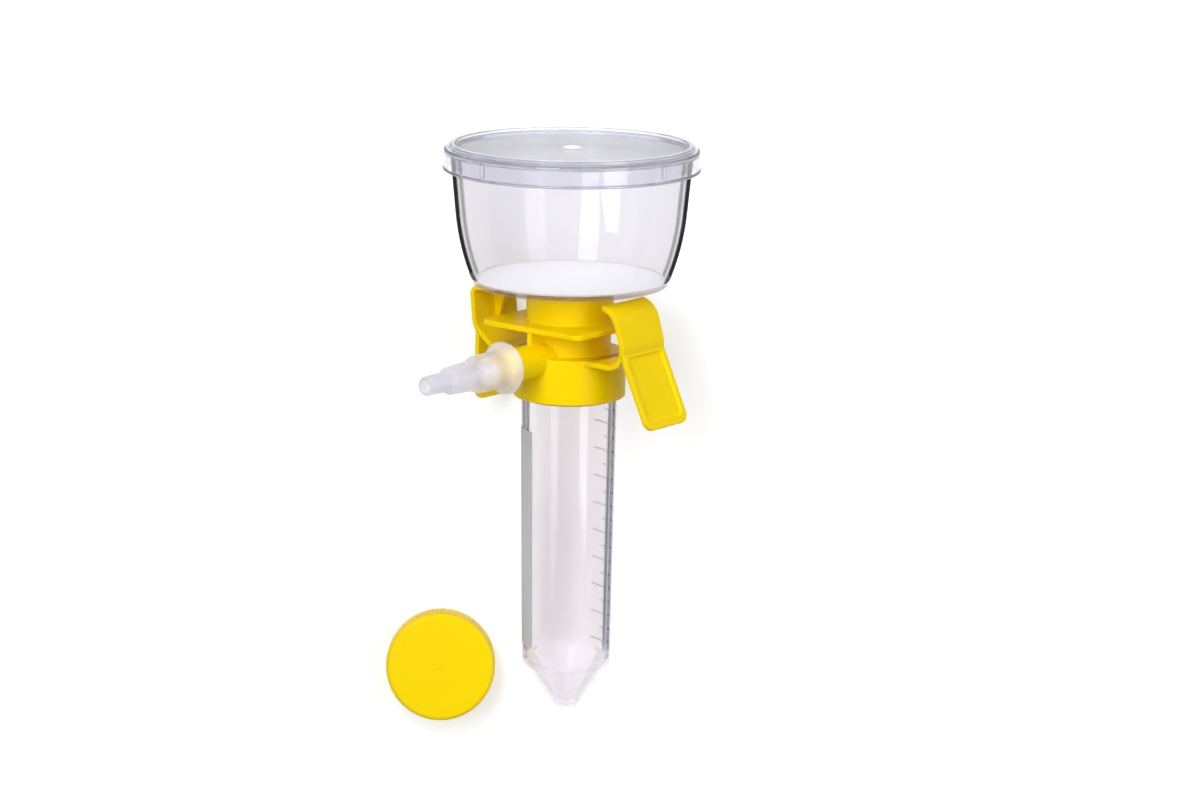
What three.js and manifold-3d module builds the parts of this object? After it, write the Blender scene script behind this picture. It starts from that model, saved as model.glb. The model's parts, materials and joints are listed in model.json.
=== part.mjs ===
// Vacuum filtration unit for a 50 mL conical tube: a clear funnel with a push-fit lid and a
// membrane, on a yellow moulded adapter that screws on the tube and carries the hose connector.
// The tube's own screw cap stands beside it. Millimetres and degrees.
//
// Every piece of the unit is built upright, with the tip of the tube at z = 0, the hose
// connector towards -Y and the two finger levers towards +X and -X. The whole unit is then
// laid down on the floor, as a tube that can't stand comes to rest.

import * as THREE from "three";
import { mergeVertices } from "three/addons/utils/BufferGeometryUtils.js";
import Module from "manifold-3d";

const wasm = await Module();
wasm.setup();

// ---- Driving dimensions ----

// Fits
const seatGap = 0.3; // between faces that seat on each other
const fitGap = 0.3; // radial gap of a plug in its socket
const threadGap = 0.45; // radial gap of a screw fit, crest to crest
const overcut = 0.3; // of a cutter past the face it opens

// Facets
const cupFacets = 60; // round the lid and the funnel
const bodyFacets = 40; // round the tube, the adapter and the cap
const pipeFacets = 24; // round the hose connector and its stub
const bendStep = 12; // degrees of one facet in a bend
const curveFacets = 6; // along a free curve

// Conical tube
const tubeLength = 110.4;
const tubeWall = 1.2;
const tubeTipR = 3.4;
const tubeTipRound = 0.6;
const tubeShoulderZ = 14.8; // where the cone meets the body
const tubeShoulderR = 13.9;
const tubeShoulderRound = 0.9;
const tubeNeckR = 14.85; // body radius just under the thread
const tubeBottom = 1.3; // thickness at the tip
const threadRise = 0.95; // of its crest over the neck
const threadHeight = 9.4; // from the rim down
const threadBevel = 0.6;
const tubeRimBevel = 0.4;

// Seal ring on the tube's rim
const sealThickness = 0.8;
const sealWidth = 1.9;

// Adapter: threaded collar, vacuum chamber, square plate and neck
const collarWall = 1.15;
const collarHeight = 14;
const collarRoof = 3.3; // thickness of the collar's top, which carries the vacuum bore
const collarBevel = 0.3;
const chamberR = 12.8; // outside of the cylinder between the collar and the plate
const chamberWall = 1.6;
const plateRise = 8.05; // from the collar's top to the plate's underside
const plateThickness = 1.75;
const plateHalf = 19.6;
const plateCornerR = 3;
const neckR = 13.5;
const neckWall = 1.8;
const neckHeight = 10.7; // above the plate
const neckFillet = 0.8;
const nozzleR = 3.8; // drip nozzle, at its root
const nozzleTipR = 3.3;
const nozzleWall = 1.4;
const nozzleDrop = 19; // below the plate's top
const chamberRoof = 2.4; // material over the vacuum chamber
const floorFall = 1.2; // how far the floor falls towards the nozzle

// Adapter: vacuum stub and the web above it
const stubDrop = 0.9; // its axis lies this far under the collar's top
const stubR = 5.2;
const stubShoulder = 31.3; // from the unit's axis
const stubNoseR = 4;
const stubNose = 6.5; // length past the shoulder
const stubBoreR = 1.7;
const filterBoreR = 2.8; // wider bore in the nose, for the filter wad
const webThickness = 1.6;

// Adapter: finger levers, each a strip that leaves the collar's top, turns up into a wall and
// ends in a hook under the funnel, with a thumb pad hung from its elbow
const leverWidth = 20;
const leverThickness = 1.7;
const gussetThickness = 1.3;
const padThickness = 1.6;
const padCornerR = 3.2;
const pocketBorder = 3; // plain edge round the thumb pocket
const pocketDepth = 0.7;
const pocketCornerR = 1.6;

// Right lever (+X): one wide elbow, a short wall and a round hook
const rightRun = 22.9; // from the unit's axis to the elbow
const rightElbowR = 5.7;
const rightWall = 6.1;
const rightHookR = 7.1;
const rightPadLength = 24.4;

// Left lever (-X): an elbow, a diagonal, a knee, a wall and a square hook
const leftRun = 22.5; // from the unit's axis to the elbow
const leftElbowR = 4;
const leftDiagonal = 5.1;
const leftKneeR = 5;
const leftWall = 7.7;
const leftHookR = 2.4;
const leftHookTop = 4.2; // as far as the gusset reaches
const leftHookLip = 3.3; // past the gusset
const leftPadLength = 22.4;

// A step of a lever's strip is [straight run] or [bend radius, degrees up]. The pad hangs from
// the strip after step padAfter, and the gusset spans the strip from there to gussetTo.
const levers = [
  {
    azimuth: 0,
    steps: [
      [rightRun],
      [rightElbowR, 80],
      [rightElbowR, 27.5],
      [rightWall],
      [rightHookR, 45],
      [rightHookR, 20],
    ],
    padAfter: 1,
    gussetTo: 4,
    padLean: 25.5, // from the vertical, foot outwards
    padLength: rightPadLength,
  },
  {
    azimuth: 180,
    steps: [
      [leftRun],
      [leftElbowR, 38],
      [leftDiagonal],
      [leftKneeR, 7],
      [leftKneeR, 39],
      [leftWall],
      [leftHookR, 90],
      [leftHookTop],
      [leftHookLip],
    ],
    padAfter: 3,
    gussetTo: 7,
    padLean: 1.1,
    padLength: leftPadLength,
  },
];

// Hose connector: a bell, then three sections for hoses of different bore, joined by cones
const bellR = 8;
const bellLip = 0.8; // thickness of the rim
const bellLength = 5.5;
const bellMouthR = 7;
const bellMouth = 2.6; // depth of the flared mouth
const bellStart = 0.9; // the rim stands this far inside the stub's shoulder
const rootSectionR = 5.75;
const rootSectionLength = 12.5; // from the bell's rim
const midConeLength = 3;
const midSectionR = 4.65;
const midSectionTipR = 4.2;
const midSectionLength = 9.5;
const tipConeLength = 2;
const tipSectionR = 3.1;
const tipSectionTipR = 2.9;
const tipSectionLength = 8.2;
const connectorBoreR = 1.9;

// Filter wad in the stub's nose
const filterLength = 4.5;

// Funnel
const funnelWall = 1.7;
const funnelHeight = 40.6;
const funnelRimR = 37.1;
const funnelRimRound = 0.4;
const funnelWallAngle = 5.28; // of the straight upper wall, degrees from the vertical
const funnelBendHeight = 22.2; // where the straight wall starts to curve in
const funnelBaseR = 29.8;
const funnelBaseRound = 0.7;
const funnelBaseAngle = 23; // of the wall at its foot, degrees from the vertical
const funnelFloor = 0.8; // thickness under the drainage ribs
const ribHeight = 0.6;
const ribThickness = 1;
const ribCount = 12;
const ledgeWidth = 1.25; // from the wall to the ribbed recess
const outletR = 3.5;
const spigotWall = 1.5;
const spigotRoom = 2.5; // under its end, over the floor of its socket

// Membrane
const membraneGap = 0.35; // round its edge, to the funnel's wall
const membraneThickness = 0.4;

// Lid
const skirtClearance = 0.9; // from the funnel's rim to the inside of the skirt
const skirtWall = 1.1;
const skirtDrop = 5.1; // below the funnel's rim
const lipFlare = 0.35;
const lipHeight = 0.8;
const lidPlate = 1.2;
const shoulderRound = 1.2;
const beadInset = 1.8; // of the raised stacking bead, from the skirt's outside
const beadWidth = 1.8;
const beadHeight = 1.2;
const beadRound = 0.4;
const gateR = 2.7;
const gateHeight = 0.3;
const lidRibs = 4;
const lidRibWidth = 1.3;
const lidRibHeight = 4.4; // below the lid's plate
const lidRibAzimuth = -4; // of the first rib

// Screw cap of the tube
const capThreadGap = 0.22; // radial, crest to crest
const capWall = 0.93; // under the grip ribs
const capHeight = 13.9;
const capTop = 1.5;
const capRound = 1.6;
const capRibs = 120;
const capRibDepth = 0.35;
const capRibFoot = 1.2; // plain band under the ribs
const capRibTop = 2.8; // plain band over the ribs
const capFootBevel = 0.5;
const capSealGap = 0.45; // between the seal ring and the tube's bore
const capSealDepth = 2;
const capSealWall = 0.9;
const capNubR = 0.7;
const capNubHeight = 0.3;
const capDistance = 7.45; // from the tube's neck, sideways
const capAlong = 12; // of its axis from the tube's tip

// ---- Levels and radii that follow ----

const threadCrestR = tubeNeckR + threadRise;
const sealZ = tubeLength + seatGap;
const collarRoofZ = sealZ + sealThickness + seatGap;
const collarTopZ = collarRoofZ + collarRoof;
const collarZ = collarTopZ - collarHeight;
const collarBoreR = threadCrestR + threadGap;
const collarR = collarBoreR + collarWall;
const plateZ = collarTopZ + plateRise;
const plateTopZ = plateZ + plateThickness;
const neckTopZ = plateTopZ + neckHeight;
const neckBoreR = neckR - neckWall;
const stubZ = collarTopZ - stubDrop;
const funnelZ = neckTopZ + seatGap;
const ledgeZ = funnelZ + funnelFloor + ribHeight;
const funnelTopZ = funnelZ + funnelHeight;
const spigotR = neckBoreR - fitGap;
const spigotEndZ = plateTopZ + spigotRoom;
const lidPlateZ = funnelTopZ + seatGap;
const lidTopZ = lidPlateZ + lidPlate;
const skirtZ = funnelTopZ - skirtDrop;
const bellRimY = stubShoulder - bellStart;

const skirtBoreR = funnelRimR + skirtClearance;
const skirtR = skirtBoreR + skirtWall;
const beadR = skirtR - beadInset;
const tubeBoreR = tubeNeckR - tubeWall;
const capBoreR = threadCrestR + capThreadGap;
const capSideR = capBoreR + capWall;
const capR = capSideR + capRibDepth;
const capAside = tubeNeckR + capDistance + capR; // of its axis from the unit's

const degrees = THREE.MathUtils.degToRad;

// ---- Materials ----

function plastic(color, roughness, opacity = 1) {
  return new THREE.MeshStandardMaterial({
    color,
    roughness,
    metalness: 0,
    opacity,
    transparent: opacity < 1,
  });
}

const clearPolystyrene = plastic(0xe8e9f0, 0.05, 0.3);
const clearPolypropylene = plastic(0xe7e5e8, 0.2, 0.5);
const milkyPolypropylene = plastic(0xe2e0e6, 0.35, 0.8);
const yellowPolypropylene = plastic(0xf6d500, 0.35);
const whiteMembrane = plastic(0xf4f4f4, 0.8);
const sealRubber = plastic(0xd8d8d2, 0.6);
const filterWadding = plastic(0xf0eee8, 0.95);

// ---- Shape helpers ----

// Revolves [radius, height] points about Z; the profile runs up the outside and down the inside.
function turned(points, facets) {
  const profile = points.map(([r, z]) => new THREE.Vector2(r, z));
  return new THREE.LatheGeometry(profile, facets).rotateX(Math.PI / 2);
}

// A profile that doesn't reach the axis comes back to its first point.
function turnedRing(points, facets) {
  return turned([...points, points[0]], facets);
}

// Points of a quarter-turn or shorter arc, from one angle to another about [radius, height].
function arc([r, z], radius, from, to) {
  const count = Math.ceil(Math.abs(to - from) / (2 * bendStep));
  return Array.from({ length: count + 1 }, (_, i) => {
    const angle = degrees(from + ((to - from) * i) / count);
    return [r + radius * Math.cos(angle), z + radius * Math.sin(angle)];
  });
}

// Extrudes an outline drawn in the X-Z plane by a width centred on Y.
function extrudedAcross(points, width) {
  return extruded(shapeOf(points), width)
    .rotateX(Math.PI / 2)
    .translate(0, width / 2, 0);
}

function shapeOf(points) {
  return new THREE.Shape(points.map(([x, y]) => new THREE.Vector2(x, y)));
}

// A rectangle centred across X, from one height to another, with round corners.
function roundedRectangle(halfWidth, bottom, top, radius) {
  const quarter = Math.PI / 2;
  const [x, low, high] = [halfWidth - radius, bottom + radius, top - radius];
  return new THREE.Shape()
    .absarc(x, low, radius, -quarter, 0)
    .absarc(x, high, radius, 0, quarter)
    .absarc(-x, high, radius, quarter, 2 * quarter)
    .absarc(-x, low, radius, 2 * quarter, 3 * quarter);
}

// A strip from height 0, square at its root and with round corners at its end.
function tongue(halfWidth, length, radius) {
  const quarter = Math.PI / 2;
  return new THREE.Shape()
    .moveTo(-halfWidth, 0)
    .lineTo(halfWidth, 0)
    .absarc(halfWidth - radius, length - radius, radius, 0, quarter)
    .absarc(radius - halfWidth, length - radius, radius, quarter, 2 * quarter);
}

function extruded(shape, depth, curveSegments = 2) {
  return new THREE.ExtrudeGeometry(shape, { depth, curveSegments, bevelEnabled: false });
}

function solid(geometry) {
  const bare = new THREE.BufferGeometry();
  bare.setAttribute("position", geometry.getAttribute("position").clone());
  bare.setIndex(geometry.index);
  const merged = mergeVertices(bare, 1e-4);
  return new wasm.Manifold(
    new wasm.Mesh({
      numProp: 3,
      vertProperties: merged.attributes.position.array,
      triVerts: new Uint32Array(merged.index.array),
    }),
  );
}

function geometryOf(body) {
  const { vertProperties, triVerts } = body.getMesh();
  const geometry = new THREE.BufferGeometry();
  geometry.setAttribute("position", new THREE.BufferAttribute(vertProperties, 3));
  geometry.setIndex(new THREE.BufferAttribute(triVerts, 1));
  geometry.computeVertexNormals();
  return geometry;
}

function joined(geometries) {
  return geometries.map(solid).reduce((whole, piece) => whole.add(piece));
}

function piece(name, geometry, material) {
  const mesh = new THREE.Mesh(geometry, material);
  mesh.name = name;
  return mesh;
}

// ---- Tube and its seal ----

function tubeGeometry() {
  const threadZ = tubeLength - threadHeight;
  const coneTurn = THREE.MathUtils.radToDeg(
    Math.atan2(tubeShoulderR - tubeTipR, tubeShoulderZ),
  );
  const shoulder = arc(
    [tubeShoulderR - tubeShoulderRound, tubeShoulderZ],
    tubeShoulderRound,
    -coneTurn,
    0,
  );
  return turned(
    [
      [0, 0],
      [tubeTipR - tubeTipRound, 0],
      [tubeTipR + tubeTipRound / 2, tubeTipRound],
      ...shoulder,
      [tubeNeckR, threadZ - threadBevel],
      [threadCrestR, threadZ],
      [threadCrestR, tubeLength - tubeRimBevel],
      [threadCrestR - tubeRimBevel, tubeLength],
      [tubeBoreR, tubeLength],
      [tubeBoreR, threadZ],
      [tubeShoulderR - tubeWall, tubeShoulderZ + tubeShoulderRound],
      [tubeTipR - tubeTipRound, tubeBottom + tubeTipRound],
      [0, tubeBottom],
    ],
    bodyFacets,
  );
}

function sealGeometry() {
  return turnedRing(
    [
      [threadCrestR - sealWidth, sealZ],
      [threadCrestR, sealZ],
      [threadCrestR, sealZ + sealThickness],
      [threadCrestR - sealWidth, sealZ + sealThickness],
    ],
    bodyFacets,
  );
}

// ---- Adapter ----

// Outside of the collar, the chamber and the neck, solid to the axis.
function adapterCore() {
  return turned(
    [
      [0, collarZ],
      [collarR - collarBevel, collarZ],
      [collarR, collarZ + collarBevel],
      [collarR, collarTopZ - collarBevel],
      [collarR - collarBevel, collarTopZ],
      [chamberR, collarTopZ],
      [chamberR, plateZ + plateThickness / 2],
      [neckR + neckFillet, plateZ + plateThickness / 2],
      ...arc([neckR + neckFillet, plateTopZ + neckFillet], neckFillet, 270, 180),
      [neckR, neckTopZ],
      [0, neckTopZ],
    ],
    bodyFacets,
  );
}

// Socket for the funnel's spigot, whose floor falls to the bore of the drip nozzle.
function upperHollow() {
  const tipZ = plateTopZ - nozzleDrop;
  return turned(
    [
      [0, tipZ - overcut],
      [nozzleTipR - nozzleWall, tipZ - overcut],
      [nozzleR - nozzleWall, plateTopZ - floorFall],
      [neckBoreR, plateTopZ],
      [neckBoreR, neckTopZ + overcut],
      [0, neckTopZ + overcut],
    ],
    bodyFacets,
  );
}

// Threaded socket for the tube and the vacuum chamber round the drip nozzle.
function lowerHollow() {
  const chamberBoreR = chamberR - chamberWall;
  const roofZ = plateTopZ - chamberRoof;
  const tipZ = plateTopZ - nozzleDrop;
  return turned(
    [
      [0, collarZ - overcut],
      [collarBoreR, collarZ - overcut],
      [collarBoreR, collarRoofZ],
      [chamberBoreR, collarRoofZ],
      [chamberBoreR, roofZ],
      [nozzleR, roofZ],
      [nozzleTipR, tipZ],
      [0, tipZ],
    ],
    bodyFacets,
  );
}

function plateGeometry() {
  const outline = roundedRectangle(plateHalf, -plateHalf, plateHalf, plateCornerR);
  return extruded(outline, plateThickness).translate(0, 0, plateZ);
}

// Turns a piece made about Z so that its axis points along -Y from the unit's axis.
function alongStub(geometry) {
  return geometry.rotateX(Math.PI / 2).translate(0, 0, stubZ);
}

function stubGeometry() {
  return alongStub(
    turned(
      [
        [0, chamberR - chamberWall],
        [stubR, chamberR - chamberWall],
        [stubR, stubShoulder],
        [stubNoseR, stubShoulder],
        [stubNoseR, stubShoulder + stubNose],
        [0, stubShoulder + stubNose],
      ],
      pipeFacets,
    ),
  );
}

function stubBore() {
  const noseEnd = stubShoulder + stubNose;
  return alongStub(
    turned(
      [
        [0, nozzleR + overcut],
        [stubBoreR, nozzleR + overcut],
        [stubBoreR, noseEnd - filterLength - 2 * seatGap],
        [filterBoreR, noseEnd - filterLength - 2 * seatGap],
        [filterBoreR, noseEnd + overcut],
        [0, noseEnd + overcut],
      ],
      pipeFacets,
    ),
  );
}

// Upright web that ties the stub to the plate's edge.
function webGeometry() {
  const depth = plateHalf - chamberR + chamberWall;
  return new THREE.BoxGeometry(webThickness, depth, plateZ - stubZ + plateThickness / 2)
    .translate(0, -plateHalf + depth / 2, (plateZ + plateThickness / 2 + stubZ) / 2);
}

// Centre line of a lever's strip as points with their headings, and the point after each step.
function stripCentreLine(steps) {
  let [x, z] = [0, collarTopZ - leverThickness / 2];
  let heading = 0;
  const points = [{ x, z, heading }];
  const stepEnds = [];
  for (const [size, turn = 0] of steps) {
    const facets = turn ? Math.ceil(turn / bendStep) : 1;
    const half = degrees(turn / facets / 2);
    const chord = turn ? 2 * size * Math.sin(half) : size;
    for (let i = 0; i < facets; i++) {
      x += chord * Math.cos(heading + half);
      z += chord * Math.sin(heading + half);
      heading += 2 * half;
      points.push({ x, z, heading });
    }
    stepEnds.push(points.length - 1);
  }
  return { points, stepEnds };
}

function stripGeometry({ points }) {
  const side = (offset) =>
    points.map(({ x, z, heading }) => [
      x - offset * Math.sin(heading),
      z + offset * Math.cos(heading),
    ]);
  const outline = [...side(-leverThickness / 2), ...side(leverThickness / 2).reverse()];
  return extrudedAcross(outline, leverWidth);
}

// The strip from the pad to the hook, closed by a straight edge.
function gussetGeometry({ points, stepEnds }, { padAfter, gussetTo }) {
  const spanned = points.slice(stepEnds[padAfter], stepEnds[gussetTo] + 1);
  return extrudedAcross(
    spanned.map(({ x, z }) => [x, z]),
    gussetThickness,
  );
}

// Thumb pad: drawn across and down its face, with the pocket sunk in the outer side.
function padSolid({ padLength }) {
  const half = leverWidth / 2;
  const slab = extruded(tongue(half, padLength, padCornerR), padThickness);
  const pocket = extruded(
    roundedRectangle(half - pocketBorder, pocketBorder, padLength - pocketBorder, pocketCornerR),
    padThickness,
  );
  return solid(slab.translate(0, 0, -padThickness / 2)).subtract(
    solid(pocket.translate(0, 0, padThickness / 2 - pocketDepth)),
  );
}

// Hangs the pad from its root on the strip, leaning out towards its foot.
function padPlacement({ points, stepEnds }, { padAfter, padLean }) {
  const { x, z } = points[stepEnds[padAfter]];
  const lean = degrees(padLean);
  const across = new THREE.Vector3(0, -1, 0);
  const down = new THREE.Vector3(Math.sin(lean), 0, -Math.cos(lean));
  const outward = new THREE.Vector3(Math.cos(lean), 0, Math.sin(lean));
  return new THREE.Matrix4().makeBasis(across, down, outward).setPosition(x, 0, z);
}

function leverSolid(lever) {
  const centreLine = stripCentreLine(lever.steps);
  const pad = geometryOf(padSolid(lever)).applyMatrix4(padPlacement(centreLine, lever));
  const parts = [stripGeometry(centreLine), gussetGeometry(centreLine, lever), pad];
  return joined(parts.map((part) => part.rotateZ(degrees(lever.azimuth))));
}

function adapterGeometry() {
  const outside = [adapterCore(), plateGeometry(), stubGeometry(), webGeometry()];
  const moulding = levers.map(leverSolid).reduce(
    (whole, lever) => whole.add(lever),
    joined(outside),
  );
  const hollows = joined([upperHollow(), lowerHollow(), stubBore()]);
  return geometryOf(moulding.subtract(hollows));
}

// ---- Hose connector and filter wad ----

function connectorGeometry() {
  const socketR = stubNoseR + fitGap;
  const socketEnd = stubShoulder + stubNose + seatGap - bellRimY;
  const midStart = rootSectionLength + midConeLength;
  const midEnd = midStart + midSectionLength;
  const tipStart = midEnd + tipConeLength;
  const tipEnd = tipStart + tipSectionLength;
  const profile = [
    [bellMouthR, 0],
    [bellR, 0],
    [bellR, bellLip],
    ...bellFlare(),
    [rootSectionR, rootSectionLength],
    [midSectionR, midStart],
    [midSectionTipR, midEnd],
    [tipSectionR, tipStart],
    [tipSectionTipR, tipEnd],
    [connectorBoreR, tipEnd],
    [connectorBoreR, socketEnd],
    [socketR, socketEnd],
    [socketR, bellMouth],
    [stubR + fitGap, bellStart + seatGap],
  ];
  return alongStub(turnedRing(profile, pipeFacets).translate(0, 0, bellRimY));
}

// Hollow outer curve of the bell, from its rim down to the first section.
function bellFlare() {
  const curve = new THREE.QuadraticBezierCurve(
    new THREE.Vector2(bellR, bellLip),
    new THREE.Vector2(rootSectionR, bellLip + (bellLength - bellLip) / 3),
    new THREE.Vector2(rootSectionR, bellLength),
  );
  return curve
    .getPoints(curveFacets)
    .slice(1)
    .map(({ x, y }) => [x, y]);
}

function filterGeometry() {
  const start = stubShoulder + stubNose - filterLength - seatGap;
  const radius = filterBoreR - fitGap;
  return alongStub(
    turned(
      [
        [0, start],
        [radius, start],
        [radius, start + filterLength],
        [0, start + filterLength],
      ],
      pipeFacets,
    ),
  );
}

// ---- Funnel and membrane ----

// Wall line at an offset inwards from the outside: straight from the rim, then curving in.
function funnelWallLine(inset) {
  const taper = Math.tan(degrees(funnelWallAngle));
  const foot = Math.tan(degrees(funnelBaseAngle));
  const bendR = funnelRimR - taper * (funnelHeight - funnelBendHeight);
  // Where the straight wall's line and the foot's line cross.
  const crossing = (bendR - taper * funnelBendHeight - funnelBaseR) / (foot - taper);
  const curve = new THREE.QuadraticBezierCurve(
    new THREE.Vector2(funnelBaseR - inset, funnelZ),
    new THREE.Vector2(funnelBaseR + foot * crossing - inset, funnelZ + crossing),
    new THREE.Vector2(bendR - inset, funnelZ + funnelBendHeight),
  );
  const bent = curve.getPoints(curveFacets).map(({ x, y }) => [x, y]);
  return [...bent, [funnelRimR - inset, funnelTopZ - funnelRimRound]];
}

// The part of a wall line above a level, starting with its crossing of that level.
function lineAbove(line, z) {
  const next = line.findIndex((point) => point[1] > z);
  const [[r0, z0], [r1, z1]] = [line[next - 1], line[next]];
  return [[r0 + ((r1 - r0) * (z - z0)) / (z1 - z0), z], ...line.slice(next)];
}

// Inside of the wall from the ledge under the membrane to the rim.
function innerWallLine() {
  return lineAbove(funnelWallLine(funnelWall), ledgeZ);
}

function ledgeR() {
  return innerWallLine()[0][0];
}

function funnelShell() {
  const outer = lineAbove(funnelWallLine(0), funnelZ + funnelBaseRound);
  const mouthR = funnelRimR - funnelWall;
  const drainR = ledgeR() - ledgeWidth;
  const drainZ = funnelZ + funnelFloor;
  return turnedRing(
    [
      [spigotR - spigotWall, funnelZ],
      [spigotR - spigotWall, spigotEndZ],
      [spigotR, spigotEndZ],
      [spigotR, funnelZ],
      [funnelBaseR - funnelBaseRound, funnelZ],
      ...outer,
      [funnelRimR - funnelRimRound, funnelTopZ],
      [mouthR + funnelRimRound, funnelTopZ],
      ...innerWallLine().reverse(),
      [drainR, ledgeZ],
      [drainR, drainZ],
      [outletR, drainZ],
      [outletR, funnelZ],
    ],
    cupFacets,
  );
}

// Radial ribs that carry the membrane over the drained floor.
function drainageRibs() {
  const length = ledgeR() - ledgeWidth / 2 - outletR;
  const height = ribHeight + funnelFloor / 2;
  const z = ledgeZ - height / 2;
  return Array.from({ length: ribCount }, (_, i) =>
    new THREE.BoxGeometry(length, ribThickness, height)
      .translate(outletR + length / 2, 0, z)
      .rotateZ((2 * Math.PI * i) / ribCount),
  );
}

function funnelGeometry() {
  return geometryOf(joined([funnelShell(), ...drainageRibs()]));
}

function membraneGeometry() {
  const z = ledgeZ + seatGap;
  const radius = ledgeR() - membraneGap;
  return turned(
    [
      [0, z],
      [radius, z],
      [radius, z + membraneThickness],
      [0, z + membraneThickness],
    ],
    cupFacets,
  );
}

// ---- Lid ----

function lidShell() {
  const shoulder = arc(
    [skirtR - shoulderRound, lidTopZ - shoulderRound],
    shoulderRound,
    0,
    90,
  );
  return turned(
    [
      [0, lidPlateZ],
      [skirtBoreR, lidPlateZ],
      [skirtBoreR, skirtZ],
      [skirtR + lipFlare, skirtZ],
      [skirtR + lipFlare, skirtZ + lipHeight / 2],
      [skirtR, skirtZ + lipHeight],
      ...shoulder,
      [beadR, lidTopZ],
      [beadR, lidTopZ + beadHeight - beadRound],
      [beadR - beadRound, lidTopZ + beadHeight],
      [beadR - beadWidth + beadRound, lidTopZ + beadHeight],
      [beadR - beadWidth, lidTopZ + beadHeight - beadRound],
      [beadR - beadWidth, lidTopZ],
      [gateR, lidTopZ],
      [gateR - gateHeight, lidTopZ + gateHeight],
      [0, lidTopZ + gateHeight],
    ],
    cupFacets,
  );
}

// Short upright ribs inside the skirt that centre the lid on the funnel's rim.
function lidRibGeometries() {
  const innerR = funnelRimR + fitGap;
  const outerR = skirtBoreR + skirtWall / 2;
  const height = lidRibHeight + lidPlate / 2;
  return Array.from({ length: lidRibs }, (_, i) =>
    new THREE.BoxGeometry(outerR - innerR, lidRibWidth, height)
      .translate((innerR + outerR) / 2, 0, lidPlateZ + lidPlate / 2 - height / 2)
      .rotateZ(degrees(lidRibAzimuth) + (2 * Math.PI * i) / lidRibs),
  );
}

function lidGeometry() {
  return geometryOf(joined([lidShell(), ...lidRibGeometries()]));
}

// ---- Screw cap of the tube, standing on its open end ----

function capShell() {
  const innerTopZ = capHeight - capTop;
  const capSealR = tubeBoreR - capSealGap;
  return turned(
    [
      [0, innerTopZ],
      [capSealR - capSealWall, innerTopZ],
      [capSealR - capSealWall, innerTopZ - capSealDepth],
      [capSealR, innerTopZ - capSealDepth],
      [capSealR, innerTopZ],
      [capBoreR, innerTopZ],
      [capBoreR, 0],
      [capSideR - capFootBevel, 0],
      [capSideR, capFootBevel],
      ...arc([capSideR - capRound, capHeight - capRound], capRound, 0, 90),
      [capNubR, capHeight],
      [capNubR, capHeight + capNubHeight],
      [0, capHeight + capNubHeight],
    ],
    bodyFacets,
  );
}

// A ring whose outside is the fine grip ribs, sunk half way into the cap's wall.
function gripRing() {
  const wallMiddleR = (capBoreR + capSideR) / 2;
  const pitch = Math.PI / capRibs;
  const teeth = Array.from({ length: 2 * capRibs }, (_, i) => {
    const radius = i % 2 ? capR : capSideR;
    return new THREE.Vector2(radius, 0).rotateAround(new THREE.Vector2(), i * pitch);
  });
  const ring = new THREE.Shape(teeth);
  ring.holes.push(new THREE.Path().absarc(0, 0, wallMiddleR, 0, 2 * Math.PI));
  const height = capHeight - capRibTop - capRibFoot;
  return extruded(ring, height, bodyFacets / 2).translate(0, 0, capRibFoot);
}

function capGeometry() {
  return geometryOf(joined([capShell(), gripRing()]));
}

// ---- The unit, and how it comes to rest ----

function uprightUnit() {
  const unit = new THREE.Group();
  unit.add(
    piece("tube", tubeGeometry(), clearPolypropylene),
    piece("tube_seal", sealGeometry(), sealRubber),
    piece("adapter", adapterGeometry(), yellowPolypropylene),
    piece("hose_connector", connectorGeometry(), milkyPolypropylene),
    piece("port_filter", filterGeometry(), filterWadding),
    piece("funnel", funnelGeometry(), clearPolystyrene),
    piece("membrane", membraneGeometry(), whiteMembrane),
    piece("lid", lidGeometry(), clearPolystyrene),
  );
  return unit;
}

// The floor touches the lid's lip and the tube's shoulder. Returns its slope to the unit's axis
// and, in that plane, its distance from the axis at a height.
function floorLine() {
  const lipR = skirtR + lipFlare;
  const slope = (lipR - tubeShoulderR) / (skirtZ - tubeShoulderZ);
  return { slope, radiusAt: (z) => lipR - slope * (skirtZ - z) };
}

// Rolling on that line, the unit stops where the -X lever meets the floor: the least azimuth
// past +Y at which any of its corners does.
function restingAzimuth(adapter, { radiusAt }) {
  const corners = adapter.geometry.getAttribute("position");
  const corner = new THREE.Vector3();
  let least = Math.PI;
  for (let i = 0; i < corners.count; i++) {
    corner.fromBufferAttribute(corners, i);
    const radius = Math.hypot(corner.x, corner.y);
    const reach = radiusAt(corner.z) / radius;
    if (corner.x > 0 || corner.y < 0 || reach > 1) continue;
    least = Math.min(least, Math.atan2(corner.y, corner.x) - Math.acos(reach));
  }
  return least;
}

// The turn that lays the unit down: its axis runs along +X, rising to the lid.
function layingTurn(unit) {
  const floor = floorLine();
  const azimuth = restingAzimuth(unit.getObjectByName("adapter"), floor);
  const tilt = Math.atan(floor.slope);
  const up = new THREE.Vector3(
    -Math.cos(tilt) * Math.cos(azimuth),
    -Math.cos(tilt) * Math.sin(azimuth),
    Math.sin(tilt),
  );
  const along = new THREE.Vector3(0, 0, 1).addScaledVector(up, -up.z).normalize();
  const across = new THREE.Vector3().crossVectors(up, along);
  return new THREE.Matrix4().makeBasis(along, across, up).transpose();
}

// Moves a group so that the middle of its box's bottom is at the origin.
function centreOnFloor(group) {
  const box = new THREE.Box3().setFromObject(group, true);
  const middle = box.getCenter(new THREE.Vector3());
  group.position.sub(new THREE.Vector3(middle.x, middle.y, box.min.z));
}

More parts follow.
